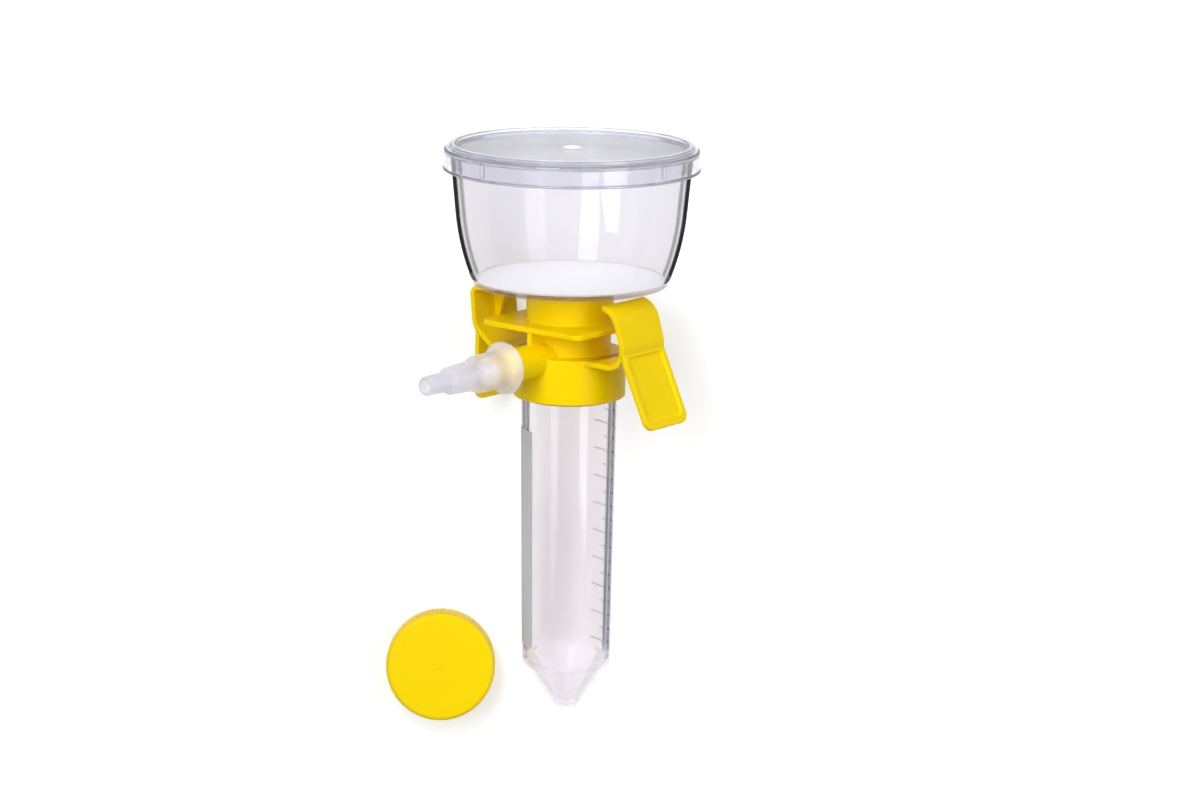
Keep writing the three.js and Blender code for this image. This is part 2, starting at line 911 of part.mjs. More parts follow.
function filtrationUnit() {
  const unit = uprightUnit();
  unit.quaternion.setFromRotationMatrix(layingTurn(unit));
  const lowest = new THREE.Box3().setFromObject(unit, true).min.z;
  unit.position.z = -lowest;
  const cap = piece("tube_cap", capGeometry(), yellowPolypropylene);
  cap.position.set(capAlong, capAside, 0);
  const whole = new THREE.Group();
  whole.add(unit, cap);
  centreOnFloor(whole);
  return whole;
}

export default filtrationUnit();
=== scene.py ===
import json
import math

import bmesh
import bpy
from bpy.props import FloatProperty, FloatVectorProperty, IntProperty, PointerProperty
from mathutils import Matrix, Vector


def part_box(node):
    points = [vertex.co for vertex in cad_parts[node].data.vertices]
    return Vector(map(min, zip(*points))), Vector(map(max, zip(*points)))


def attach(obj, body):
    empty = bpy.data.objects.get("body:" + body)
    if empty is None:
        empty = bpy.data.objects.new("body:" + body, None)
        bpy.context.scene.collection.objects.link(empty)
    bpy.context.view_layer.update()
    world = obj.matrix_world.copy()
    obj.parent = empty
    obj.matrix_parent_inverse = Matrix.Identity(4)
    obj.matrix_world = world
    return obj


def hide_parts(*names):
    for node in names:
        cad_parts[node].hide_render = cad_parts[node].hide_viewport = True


bl_info = {
    "name": "Vacuum filtration unit",
    "version": (1, 0, 0),
    "blender": (4, 5, 0),
    "location": "View3D > Sidebar > Filtration",
    "description": "Dresses a vacuum filtration unit with its lid, funnel, adapter, tube and cap",
    "category": "Object",
}

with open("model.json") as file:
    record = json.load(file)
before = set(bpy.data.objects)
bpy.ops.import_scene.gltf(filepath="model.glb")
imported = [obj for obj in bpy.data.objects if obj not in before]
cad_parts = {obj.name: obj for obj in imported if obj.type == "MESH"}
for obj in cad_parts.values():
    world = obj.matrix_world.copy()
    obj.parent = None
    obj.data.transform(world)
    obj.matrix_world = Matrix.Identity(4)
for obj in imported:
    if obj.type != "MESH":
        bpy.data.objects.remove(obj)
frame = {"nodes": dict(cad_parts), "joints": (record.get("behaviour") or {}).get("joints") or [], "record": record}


# ---------------------------------------------------------------- measures
# Pieces are drawn upright, in mm over the tube's tip, with the hose connector towards -Y and the
# finger levers towards +X and -X. The matrix UNIT lays them down as the model lies.

PORT_HEIGHT = 114.2  # of the stub's axis
BELL_END, HOSE_END = 30.4, 65.6  # from the unit's axis to the connector's two ends
END_RING = 2.4  # radius of the middle of the connector's narrow end


def mm(value):
    return value * 0.001


def in_mm(value):
    return value * 1000


def upright_to_lying():
    """Matrix from the upright unit's frame, tip of the tube at its origin, to where it lies."""
    screw = next(j for j in frame["joints"] if j["name"] == "tube_screw")
    mounts = {m["name"]: m for m in frame["record"]["mounts"]}
    up = -Vector(screw["axis"]).normalized()
    port = Vector(mounts["hose_end"]["axis"]).normalized()
    turn = Matrix((up.cross(port), -port, up)).transposed()
    hose_end = Vector((mm(END_RING), -mm(HOSE_END), mm(PORT_HEIGHT)))
    origin = Vector(mounts["hose_end"]["pos_m"]) - turn @ hose_end
    return Matrix.Translation(origin) @ turn.to_4x4()


UNIT = upright_to_lying()
UNIT_AXIS = UNIT.to_3x3() @ Vector((0, 0, 1))


def cap_place():
    low, high = (Vector(corner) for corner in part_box("tube_cap"))
    middle = (low + high) / 2
    return Matrix.Translation((middle.x, middle.y, 0))


# ---------------------------------------------------------------- settings


def length(name, description, value):
    kind = {"unit": "LENGTH", "subtype": "DISTANCE", "precision": 5}
    return FloatProperty(name=name, description=description, default=mm(value), **kind)


def degrees(name, description, value):
    turn = math.radians(value)
    return FloatProperty(name=name, description=description, default=turn, subtype="ANGLE")


def count(name, description, value, least, most):
    return IntProperty(name=name, description=description, default=value, min=least, max=most)


def colour(name, description, *channels):
    kind = {"size": 4, "min": 0.0, "max": 1.0, "subtype": "COLOR"}
    default = (*channels, 1.0)
    return FloatVectorProperty(name=name, description=description, default=default, **kind)


class PlasticSettings(bpy.types.PropertyGroup):
    """Colours and finishes of the plastics"""

    yellow: colour("Yellow", "Moulded adapter and cap", 0.97, 0.70, 0.0)
    lid: colour("Lid", "Clear polystyrene of the lid", 0.88, 0.88, 0.92)
    # Painted reflection: the darker grey that the lid's plate shows at a slant, standing for the dim surroundings
    # it reflects.
    lid_plate_painted_reflection: colour("Lid plate", "The lid's plate seen at a slant", 0.56, 0.56, 0.585)
    cup: colour("Cup", "Clear polystyrene of the funnel", 0.825, 0.818, 0.840)
    tube: colour("Tube", "Clear polypropylene of the tube", 0.96, 0.935, 0.95)
    # Painted shade: the rim tints darken clear walls seen along themselves and stand for the dim surroundings they
    # show there.
    lid_painted_shade: colour("Lid rim", "The lid seen along its skirt", 0.66, 0.66, 0.77)
    cup_edge_painted_shade: colour("Cup rim", "The funnel seen along its wall", 0.18, 0.17, 0.19)
    tube_edge_painted_shade: colour("Tube rim", "The tube seen along its wall", 0.52, 0.52, 0.58)
    milky: colour("Connector", "Natural polypropylene of the connector", 0.83, 0.825, 0.865)
    membrane: colour("Membrane", "White filter membrane", 0.97, 0.97, 0.97)
    # Painted shade: the print is white ink, given in the grey it shows against the light.
    ink_painted_grey: colour("Ink", "Printed graduation", 0.50, 0.47, 0.48)
    cup_foot: colour("Cup foot", "The funnel's thick floor", 0.92, 0.88, 0.87)
    tube_foot: colour("Tube foot", "The tube's thick cone", 0.92, 0.905, 0.925)
    depth: colour("Depth", "What thick polystyrene lets through", 0.40, 0.38, 0.44)
    round_steps: count("Round steps", "Facets round a turned piece", 144, 24, 512)


class LidSettings(bpy.types.PropertyGroup):
    """Sizes of the lid"""

    skirt_radius: length("Skirt radius", "Outside of the skirt", 39.1)
    skirt_wall: length("Skirt wall", "Thickness of the skirt", 1.1)
    skirt_bottom: length("Skirt bottom", "Height of the lip's underside", 171.4)
    plate_bottom: length("Plate underside", "Height of the plate's underside", 176.8)
    plate_top: length("Plate top", "Height of the plate's top", 178.0)
    bead_radius: length("Bead radius", "Outside of the stacking bead", 37.3)
    bead_width: length("Bead width", "Width of the stacking bead", 1.8)
    bead_height: length("Bead height", "Rise of the stacking bead", 1.2)
    rib_angle: degrees("First rib", "Where the first spacer rib stands", -4)


class FunnelSettings(bpy.types.PropertyGroup):
    """Sizes of the funnel"""

    bottom: length("Bottom", "Height of the funnel's underside", 135.9)
    rim_top: length("Rim", "Height of the rim", 176.5)
    rim_radius: length("Rim radius", "Outside at the rim", 37.1)
    base_radius: length("Base radius", "Outside at the foot", 29.8)
    wall: length("Wall", "Thickness of the wall", 1.7)
    floor: length("Floor", "Height of the ledge under the membrane", 137.3)


class AdapterSettings(bpy.types.PropertyGroup):
    """Sizes of the adapter"""

    collar_radius: length("Collar radius", "Outside of the threaded collar", 17.4)
    collar_bottom: length("Collar bottom", "Height of the collar's rim", 101.1)
    collar_top: length("Collar top", "Height of the collar's top", 115.1)
    chamber_radius: length("Chamber radius", "Cylinder between the collar and the plate", 12.8)
    plate_half: length("Plate half width", "Half the side of the square plate", 19.6)
    plate_thickness: length("Plate thickness", "Thickness of the square plate", 1.75)
    plate_top: length("Plate top", "Height of the plate's top", 124.9)
    neck_radius: length("Neck radius", "Outside of the neck", 13.5)
    neck_top: length("Neck top", "Height of the neck's rim", 135.6)
    lever_width: length("Lever width", "Width of a finger lever", 20.0)
    lever_thickness: length("Lever thickness", "Thickness of a lever's strip", 1.7)
    pad_thickness: length("Pad thickness", "Thickness of a thumb pad", 1.6)
    pocket_depth: length("Pocket depth", "Depth of the thumb pocket", 0.7)
    edge_round: length("Edge round", "Rounding of the moulding's edges", 0.35)


class TubeSettings(bpy.types.PropertyGroup):
    """Sizes of the tube and its printed scale"""

    length: length("Length", "Tip to rim", 110.4)
    wall: length("Wall", "Thickness of the wall", 1.2)
    shoulder: length("Shoulder", "Height where the cone meets the body", 14.8)
    shoulder_radius: length("Shoulder radius", "Outside at the shoulder", 13.9)
    neck_radius: length("Neck radius", "Outside under the thread", 14.85)
    first_tick: length("First tick", "Height of the lowest main line of the scale", 19.5)
    tick_pitch: length("Tick pitch", "Between two main lines of the scale", 8.86)
    scale_angle: degrees("Scale angle", "Where the lines of the scale begin", 36)
    frost_angle: degrees("Writing patch angle", "Middle of the frosted patch", -122)


class CapSettings(bpy.types.PropertyGroup):
    """Sizes of the tube's cap"""

    radius: length("Radius", "Crests of the grip ribs", 17.3)
    height: length("Height", "Height of the cap", 13.9)
    ribs: count("Ribs", "Number of grip ribs", 120, 24, 240)
    rib_depth: length("Rib depth", "Depth of the grip ribs", 0.35)
    rib_bottom: length("Ribs from", "Height of the ribs' lower end", 1.2)
    rib_top: length("Ribs to", "Height of the ribs' upper end", 11.1)


# ---------------------------------------------------------------- shapes


def rounded(corners, steps=4, closed=True):
    """Outline points of (x, y) or (x, y, radius) corners, with those corners rounded. In mm."""
    points = []
    for i, corner in enumerate(corners):
        here = Vector(corner[:2])
        radius = corner[2] if len(corner) > 2 else 0
        if not radius or (not closed and i in (0, len(corners) - 1)):
            points.append(here)
            continue
        back = Vector(corners[i - 1][:2]) - here
        ahead = Vector(corners[(i + 1) % len(corners)][:2]) - here
        half = back.angle(ahead) / 2
        run = min(radius / math.tan(half), 0.49 * back.length, 0.49 * ahead.length)
        start = here + back.normalized() * run
        end = here + ahead.normalized() * run
        inward = (back.normalized() + ahead.normalized()).normalized()
        centre = here + inward * (run / math.cos(half))
        first = math.atan2(start.y - centre.y, start.x - centre.x)
        last = math.atan2(end.y - centre.y, end.x - centre.x)
        sweep = (last - first + math.pi) % (2 * math.pi) - math.pi
        size = (start - centre).length
        for k in range(steps + 1):
            turn = first + sweep * k / steps
            points.append(centre + size * Vector((math.cos(turn), math.sin(turn))))
    return points


def arc_points(centre, radius, start, end, steps):
    """Points (x, y) of an arc about a centre, from one angle to another in degrees. In mm."""
    turns = [math.radians(start + (end - start) * k / steps) for k in range(steps + 1)]
    x, y = centre
    return [(x + radius * math.cos(turn), y + radius * math.sin(turn)) for turn in turns]


def bezier(a, b, c, steps):
    """Points (x, y) of a quadratic curve. In mm."""
    a, b, c = Vector(a), Vector(b), Vector(c)
    shares = [k / steps for k in range(steps + 1)]
    return [tuple(a * (1 - t) ** 2 + b * 2 * t * (1 - t) + c * t * t) for t in shares]


def turned(points, steps, closed=True):
    """A bmesh of (radius, height) points in mm turned about Z. An open outline ends on the axis."""
    bm = bmesh.new()
    verts = [bm.verts.new((mm(radius), 0, mm(height))) for radius, height in points]
    pairs = zip(verts, verts[1:] + verts[:1]) if closed else zip(verts, verts[1:])
    edges = [bm.edges.new(pair) for pair in pairs]
    bmesh.ops.spin(
        bm,
        geom=verts + edges,
        axis=(0, 0, 1),
        cent=(0, 0, 0),
        angle=2 * math.pi,
        steps=steps,
        use_merge=True,
    )
    bmesh.ops.remove_doubles(bm, verts=bm.verts, dist=1e-7)
    bmesh.ops.dissolve_degenerate(bm, edges=bm.edges, dist=1e-8)
    bmesh.ops.recalc_face_normals(bm, faces=bm.faces)
    return bm


def prism(points, depth, bevel=0.0):
    """A bmesh on an outline in mm in the X-Y plane, from Z = 0 up, with its edges bevelled."""
    bm = bmesh.new()
    face = bm.faces.new([bm.verts.new((mm(x), mm(y), 0)) for x, y in points])
    made = bmesh.ops.extrude_face_region(bm, geom=[face])
    top = [v for v in made["geom"] if isinstance(v, bmesh.types.BMVert)]
    bmesh.ops.translate(bm, vec=(0, 0, mm(depth)), verts=top)
    bmesh.ops.recalc_face_normals(bm, faces=bm.faces)
    if bevel:
        limit = math.radians(50)
        sharp = [e for e in bm.edges if e.is_manifold and e.calc_face_angle() > limit]
        bmesh.ops.bevel(
            bm,
            geom=sharp,
            offset=mm(bevel),
            segments=3,
            profile=0.5,
            affect="EDGES",
            material=-1,
            clamp_overlap=True,
        )
    return bm


def block(size, middle):
    """A box of this size about its middle, both in mm, as a bmesh."""
    bm = bmesh.new()
    bmesh.ops.create_cube(bm, size=1.0)
    bmesh.ops.scale(bm, vec=[mm(value) for value in size], verts=bm.verts)
    bmesh.ops.translate(bm, vec=[mm(value) for value in middle], verts=bm.verts)
    return bm


def add_object(name, data):
    made = bpy.data.objects.new(name, data)
    bpy.context.scene.collection.objects.link(made)
    return made


def mesh_of(name, bm, place):
    """Ends a bmesh as an object whose place is in its mesh, with its sharp edges marked."""
    bm.transform(place)
    mesh = bpy.data.meshes.new(name)
    bm.to_mesh(mesh)
    bm.free()
    mesh.shade_smooth()
    mesh.set_sharp_from_angle(angle=math.radians(38))
    piece = add_object(name, mesh)
    flats = piece.modifiers.new("flat faces stay flat", "WEIGHTED_NORMAL")
    flats.keep_sharp = True
    return piece


def join_into(bm, other, place=None):
    """Adds the faces of another bmesh, moved to their place, and frees it."""
    if place is not None:
        other.transform(place)
    holder = bpy.data.meshes.new("holder")
    other.to_mesh(holder)
    other.free()
    bm.from_mesh(holder)
    bpy.data.meshes.remove(holder)


def combined(bm, cutter, operation):
    """The exact union or difference of two bmeshes, as a new bmesh. Both are freed."""
    pair = []
    for shape in (bm, cutter):
        mesh = bpy.data.meshes.new("shape")
        shape.to_mesh(mesh)
        shape.free()
        pair.append(add_object("shape", mesh))
    target, tool = pair
    boolean = target.modifiers.new("boolean", "BOOLEAN")
    boolean.operation = operation
    boolean.solver = "EXACT"
    boolean.object = tool
    bpy.context.view_layer.update()
    evaluated = target.evaluated_get(bpy.context.evaluated_depsgraph_get())
    result = bmesh.new()
    result.from_mesh(evaluated.to_mesh())
    evaluated.to_mesh_clear()
    for holder in pair:
        mesh = holder.data
        bpy.data.objects.remove(holder)
        bpy.data.meshes.remove(mesh)
    return result


def paint(piece, material):
    piece.data.materials.clear()
    piece.data.materials.append(material)


def dress(piece, material, body, slot, *nodes):
    """Paints a piece and has it ride a body, in place of the CAD nodes named. The slot is not used."""
    paint(piece, material)
    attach(piece, body)
    if nodes:
        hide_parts(*nodes)


# ---------------------------------------------------------------- materials

WHITE = (1.0, 1.0, 1.0, 1.0)
WALL_LEAN = 0.43  # a wall's normal leans less than this along the unit's axis
FILLET_LEAN, PLATE_LEAN = 0.3, 0.97  # rounded edges start at the one, plates at the other
OVER_THE_UNIT = (1000.0, 1001.0)  # heights that take a whole piece into its foot


def new_material(name):
    material = bpy.data.materials.new(name)
    material.use_nodes = True
    tree = material.node_tree
    return material, tree, tree.nodes["Principled BSDF"]


def plug(tree, value, socket):
    """Links a node's output to a socket, or sets the socket to a plain value."""
    if isinstance(value, bpy.types.NodeSocket):
        tree.links.new(value, socket)
    else:
        socket.default_value = value


def add_node(tree, kind, inputs, **options):
    """A new shader node with its options set, then its inputs linked or set."""
    node = tree.nodes.new("ShaderNode" + kind)
    for name, value in options.items():
        setattr(node, name, value)
    for name, value in inputs.items():
        plug(tree, value, node.inputs[name])
    return node


def add_math(tree, operation, first, second):
    """A sum on two sockets or numbers."""
    return add_node(tree, "Math", {0: first, 1: second}, operation=operation).outputs["Value"]


def map_range(tree, value, start, end, low=0.0, high=1.0):
    """Spreads a value that runs from start to end over low to high, and no further."""
    limits = {"From Min": start, "From Max": end, "To Min": low, "To Max": high}
    return add_node(tree, "MapRange", {"Value": value, **limits}).outputs["Result"]


def blend(tree, share, first, second, kind="RGBA"):
    """Mixes two colours, or two numbers of the kind FLOAT, by a share of the second."""
    pair = {"Factor": share, "A": first, "B": second}
    return add_node(tree, "Mix", pair, data_type=kind).outputs["Result"]


def add_noise(tree, scale, detail, stretch=None):
    """A noise on the piece's own coordinates, drawn out along the unit's axis where asked."""
    coordinates = tree.nodes.new("ShaderNodeTexCoord").outputs["Object"]
    mapping = add_node(tree, "Mapping", {"Vector": coordinates})
    if stretch:
        mapping.vector_type = "TEXTURE"
        mapping.inputs["Rotation"].default_value = UNIT.to_euler()
        mapping.inputs["Scale"].default_value = stretch
    place = mapping.outputs["Vector"]
    noise = add_node(tree, "TexNoise", {"Vector": place, "Scale": scale, "Detail": detail})
    return noise.outputs["Fac"]


def add_bump(tree, shader, height, strength, depth, edge=0.0):
    """Relief of this depth in mm, with edges softened over this many mm."""
    relief = {"Strength": strength, "Distance": mm(depth), "Height": height}
    if edge:
        soft_edge = add_node(tree, "Bevel", {"Radius": mm(edge)}, samples=6)
        relief["Normal"] = soft_edge.outputs["Normal"]
    bump = add_node(tree, "Bump", relief)
    tree.links.new(bump.outputs["Normal"], shader.inputs["Normal"])


def finish(tree, shader, noise, tints, roughness, bump=None):
    """Varies two shades, a range of roughness and a bump of (strength, mm) by one noise."""
    tree.links.new(blend(tree, noise, *tints), shader.inputs["Base Color"])
    tree.links.new(map_range(tree, noise, 0.3, 0.7, *roughness), shader.inputs["Roughness"])
    if bump:
        add_bump(tree, shader, noise, *bump)


def shade(base, factor):
    return (*[min(1.0, channel * factor) for channel in base[:3]], 1.0)


def let_lamps_through(tree, surface, tint):
    """Light from the lamps passes a clear plastic with this tint, so it throws a pale shadow."""
    shadow = tree.nodes.new("ShaderNodeLightPath").outputs["Is Shadow Ray"]
    clear = add_node(tree, "BsdfTransparent", {"Color": tint})
    mix = add_node(tree, "MixShader", {"Fac": shadow, 1: surface, 2: clear.outputs["BSDF"]})
    tree.links.new(mix.outputs["Shader"], tree.nodes["Material Output"].inputs["Surface"])


def on_unit_axis(tree, name):
    """A texture coordinate measured along the unit's axis."""
    pair = {0: tree.nodes.new("ShaderNodeTexCoord").outputs[name], 1: UNIT_AXIS}
    return add_node(tree, "VectorMath", pair, operation="DOT_PRODUCT").outputs["Value"]


def side_faces(tree, limit=WALL_LEAN):
    """1 on a face whose normal leans less than the limit along the unit's axis."""
    lean = add_math(tree, "ABSOLUTE", on_unit_axis(tree, "Normal"), 0.0)
    return add_math(tree, "LESS_THAN", lean, limit)


def near_axis(tree, radius):
    """1 within this radius of the unit's axis, in mm."""
    value = tree.nodes.new("ShaderNodeTexCoord").outputs["Object"]
    for operation, other in (("SUBTRACT", UNIT.translation), ("CROSS_PRODUCT", UNIT_AXIS)):
        step = add_node(tree, "VectorMath", {0: value, 1: other}, operation=operation)
        value = step.outputs["Vector"]
    distance = add_node(tree, "VectorMath", {0: value}, operation="LENGTH")
    return add_math(tree, "LESS_THAN", distance.outputs["Value"], mm(radius))


def plate_at_a_slant(tree, radius):
    """Rises to 1 as a plate, within this radius of the unit's axis in mm, is seen at a slant: where the plate's
    painted reflection goes.
    """
    across = add_math(tree, "SUBTRACT", 1.0, side_faces(tree, PLATE_LEAN))
    plate = add_math(tree, "MULTIPLY", across, near_axis(tree, radius))
    weight = tree.nodes.new("ShaderNodeLayerWeight")
    return add_math(tree, "MULTIPLY", plate, map_range(tree, weight.outputs["Facing"], 0.3, 0.7))


def fillet_faces(tree):
    """1 on the rounded edges between the plates and the walls, where the lid's painted shade goes."""
    return add_math(tree, "SUBTRACT", side_faces(tree, PLATE_LEAN), side_faces(tree, FILLET_LEAN))


def height_share(tree, low, high):
    """0 under one height of the unit, in mm, rising to 1 over another."""
    base = UNIT_AXIS.dot(UNIT.translation)
    return map_range(tree, on_unit_axis(tree, "Object"), mm(low) + base, mm(high) + base)


def add_painted_edge_and_foot(tree, shader, tint, stops, foot, zones=()):
    """Paints a dark edge on clear plastic where an upright wall is seen along itself: painted shade for the dim
    surroundings it shows there and for the light lost in it.

    The stops are (how far the wall turns away, share of the tint). The foot is (height in mm where
    it starts to fade, height where it ends, tint, share): down there a share of what is seen
    passes straight through with that tint. Zones of the foot may have their own (mask, tint,
    share).
    """
    low, high, foot_tint, foot_share = foot
    above = height_share(tree, low, high)
    weight = add_node(tree, "LayerWeight", {"Blend": 0.5})
    ramp = add_node(tree, "ValToRGB", {"Fac": weight.outputs["Facing"]})
    marks = ramp.color_ramp.elements
    for i, (place, share) in enumerate(stops):
        stop = marks[0] if i == 0 else marks[-1] if place == 1.0 else marks.new(place)
        stop.position = place
        stop.color = (share, share, share, 1.0)
    wall = add_math(tree, "MULTIPLY", ramp.outputs["Color"], side_faces(tree))
    for mask, zone_tint, zone_share in zones:
        foot_tint = blend(tree, mask, foot_tint, zone_tint)
        foot_share = blend(tree, mask, foot_share, zone_share, "FLOAT")
    straight = {"Color": blend(tree, above, foot_tint, tint), "Roughness": 0.0, "IOR": 1.0}
    rim = add_node(tree, "BsdfRefraction", straight).outputs["BSDF"]
    share = blend(tree, above, foot_share, wall, "FLOAT")
    mix = add_node(tree, "MixShader", {"Fac": share, 1: shader.outputs["BSDF"], 2: rim})
    return mix.outputs["Shader"]


def clear_polystyrene(settings, name, tint, rim, foot, density, plate=None):
    """Clear plastic of the cup and the lid. A plate is (radius, tint, share, gate's radius), its tint a painted
    reflection that greys the plate seen at a slant.
    """
    material, tree, shader = new_material(name)
    zones = ()
    if plate:
        radius, plate_painted_reflection, plate_share, gate_radius = plate
        # Painted shade darkens the lid's rounded edges and a painted reflection greys its plate at a slant; the
        # gate is kept out of both.
        zones = (
            (fillet_faces(tree), shade(rim, 0.75), 0.6),
            (plate_at_a_slant(tree, radius), plate_painted_reflection, plate_share),
            (near_axis(tree, gate_radius), plate_painted_reflection, 0.0),
        )
    shader.inputs["IOR"].default_value = 1.42
    shader.inputs["Transmission Weight"].default_value = 1.0
    noise = add_noise(tree, 60.0, 2.0)
    finish(tree, shader, noise, (tint, shade(tint, 0.985)), (0.01, 0.04), (0.15, 0.05))
    depth = add_node(tree, "VolumeAbsorption", {"Color": settings.depth, "Density": density})
    tree.links.new(depth.outputs["Volume"], tree.nodes["Material Output"].inputs["Volume"])
    stops = ((0.0, 0.0), (0.7, 0.0), (0.76, 1.0), (1.0, 1.0))
    surface = add_painted_edge_and_foot(tree, shader, rim, stops, foot, zones)
    let_lamps_through(tree, surface, (0.98, 0.98, 0.98, 1.0))
    return material


def frost_gate(material, radius):
    """Makes the middle of the lid white and less clear, where the moulding's gate broke off."""
    tree = material.node_tree
    shader = tree.nodes["Principled BSDF"]
    clear = add_math(tree, "SUBTRACT", 1.0, near_axis(tree, radius))
    clear_colour = shader.inputs["Base Color"].links[0].from_socket
    tree.links.new(blend(tree, clear, WHITE, clear_colour), shader.inputs["Base Color"])
    tree.links.new(add_math(tree, "MAXIMUM", clear, 0.4), shader.inputs["Transmission Weight"])


def clear_polypropylene(settings):
    material, tree, shader = new_material("clear_polypropylene")
    shader.inputs["IOR"].default_value = 1.45
    shader.inputs["Transmission Weight"].default_value = 1.0
    streaks = add_noise(tree, 90.0, 3.0, stretch=(1.0, 1.0, 12.0))
    # Painted shade: the tube is darker below 60 mm and lightens to its own tint by 100 mm.
    painted_shade_towards_tip = blend(tree, height_share(tree, 60, 100), shade(settings.tube, 0.83), settings.tube)
    finish(tree, shader, streaks, (painted_shade_towards_tip, shade(settings.tube, 0.93)), (0.06, 0.10), (0.2, 0.05))
    # Painted shade: a dark band just inside the tube's outline, where its wall is seen along itself.
    stops = ((0.0, 0.0), (0.54, 0.0), (0.62, 1.0), (0.74, 1.0), (0.8, 0.0), (1.0, 0.0))
    foot = (17.0, 17.01, settings.tube_foot, 0.6)
    surface = add_painted_edge_and_foot(tree, shader, settings.tube_edge_painted_shade, stops, foot)
    let_lamps_through(tree, surface, (0.86, 0.86, 0.87, 1.0))
    return material


def milky_polypropylene(settings):
    material, tree, shader = new_material("milky_polypropylene")
    milky = settings.milky
    shader.inputs["IOR"].default_value = 1.45
    shader.inputs["Transmission Weight"].default_value = 0.6
    noise = add_noise(tree, 300.0, 3.0)
    finish(tree, shader, noise, (milky, shade(milky, 0.95)), (0.28, 0.34), (0.05, 0.02))
    foot = (*OVER_THE_UNIT, shade(milky, 1.06), 0.4)
    surface = add_painted_edge_and_foot(tree, shader, milky, ((0.0, 0.0), (1.0, 0.0)), foot)
    let_lamps_through(tree, surface, (0.7, 0.7, 0.71, 1.0))
    return material


def yellow_polypropylene(settings, name, edge):
    material, tree, shader = new_material(name)
    yellow = settings.yellow
    shader.inputs["IOR"].default_value = 1.47
    shader.inputs["Specular IOR Level"].default_value = 0.1
    shader.inputs["Subsurface Weight"].default_value = 0.06
    shader.inputs["Subsurface Radius"].default_value = (1.0, 0.6, 0.05)
    shader.inputs["Subsurface Scale"].default_value = mm(1.5)
    noise = add_noise(tree, 900.0, 4.0)
    broad = add_noise(tree, 45.0, 2.0)
    finish(tree, shader, broad, (yellow, shade(yellow, 0.95)), (0.30, 0.40))
    add_bump(tree, shader, noise, 0.10, 0.02, edge)
    return material


def rough_material(name, scale, detail, tints, roughness, bump=None):
    """A plain material that varies by one noise."""
    material, tree, shader = new_material(name)
    finish(tree, shader, add_noise(tree, scale, detail), tints, roughness, bump)
    return material


def membrane_paper(settings):
    tints = (settings.membrane, shade(settings.membrane, 0.94))
    return rough_material("membrane_paper", 2500.0, 5.0, tints, (0.75, 0.95), (0.4, 0.02))


def printed_ink(settings):
    # The grey is painted shade: white ink as it looks against the light, mixed lighter by a noise.
    tints = (settings.ink_painted_grey, shade(settings.ink_painted_grey, 1.6))
    return rough_material("printed_ink", 3000.0, 4.0, tints, (0.45, 0.65))


def frosted_patch():
    tints = ((0.78, 0.78, 0.83, 1.0), (0.73, 0.73, 0.78, 1.0))
    material = rough_material("frosted_patch", 2200.0, 5.0, tints, (0.6, 0.8), (0.3, 0.02))
    shader = material.node_tree.nodes["Principled BSDF"]
    shader.inputs["Transmission Weight"].default_value = 0.5
    return material


def seal_rubber():
    tints = ((0.62, 0.62, 0.58, 1.0), (0.56, 0.56, 0.52, 1.0))
    return rough_material("seal_rubber", 1200.0, 3.0, tints, (0.55, 0.7))


def fibre_wadding():
    tints = ((0.85, 0.85, 0.83, 1.0), (0.7, 0.7, 0.68, 1.0))
    return rough_material("fibre_wadding", 4000.0, 6.0, tints, (0.85, 1.0), (0.8, 0.1))


# ---------------------------------------------------------------- lid, funnel and membrane


def spacer_rib(radius, depth, bottom, top, width, angle):
    """An upright rib on the inside of a ring of this radius, as a bmesh."""
    bm = block((depth, width, top - bottom), (radius, 0, (top + bottom) / 2))
    bmesh.ops.rotate(bm, cent=(0, 0, 0), matrix=Matrix.Rotation(angle, 3, "Z"), verts=bm.verts)
    return bm


class OBJECT_OT_filtration_lid(bpy.types.Operator):
    """Make the clear lid with its stacking bead, skirt and spacer ribs"""

    bl_idname = "object.filtration_lid"
    bl_label = "Lid"

    def execute(self, context):
        s = context.scene.filtration_lid
        plastics = context.scene.filtration_plastics
        skirt, bottom = in_mm(s.skirt_radius), in_mm(s.skirt_bottom)
        low, top = in_mm(s.plate_bottom), in_mm(s.plate_top)
        bead, crest = in_mm(s.bead_radius), in_mm(s.plate_top + s.bead_height)
        inner_bead = bead - in_mm(s.bead_width)
        bore, lip = skirt - in_mm(s.skirt_wall), skirt + 0.35
        gate = 2.9
        corners = [
            (0, low),
            (bore, low, 0.6),
            (bore, bottom, 0.25),
            (lip, bottom, 0.3),
            (lip, bottom + 0.5, 0.2),
            (skirt, bottom + 0.9, 0.3),
            (skirt, top, 1.0),
            (bead, top, 0.2),
            (bead, crest, 0.3),
            (inner_bead, crest, 0.3),
            (inner_bead, top, 0.2),
            (2.8, top, 0.15),
            (2.6, top + 0.3, 0.15),
            (1.2, top + 0.3, 0.1),
            (0.9, top + 0.05, 0.1),
            (0, top + 0.05),
        ]
        bm = turned(rounded(corners, 5, closed=False), plastics.round_steps, closed=False)
        depth, drop, width = 0.9, 4.4, 1.3
        for k in range(4):
            angle = s.rib_angle + k * math.pi / 2
            rib = spacer_rib(bore - 0.2, depth, low - drop, low + 0.3, width, angle)
            bm = combined(bm, rib, "UNION")
        piece = mesh_of("lid_clear", bm, UNIT)
        # Painted shade: a small share of the whole lid is seen through its dark bluish rim tint, and its plate
        # takes a painted reflection at a slant.
        foot = (crest + 1, crest + 2, plastics.lid_painted_shade, 0.06)
        plate = (inner_bead - 0.3, plastics.lid_plate_painted_reflection, 0.5, gate)
        material = clear_polystyrene(
            plastics, "lid_polystyrene", plastics.lid, plastics.lid_painted_shade, foot, 8.0, plate
        )
        frost_gate(material, gate)
        dress(piece, material, "lid", "clear_cup", "lid")
        return {"FINISHED"}


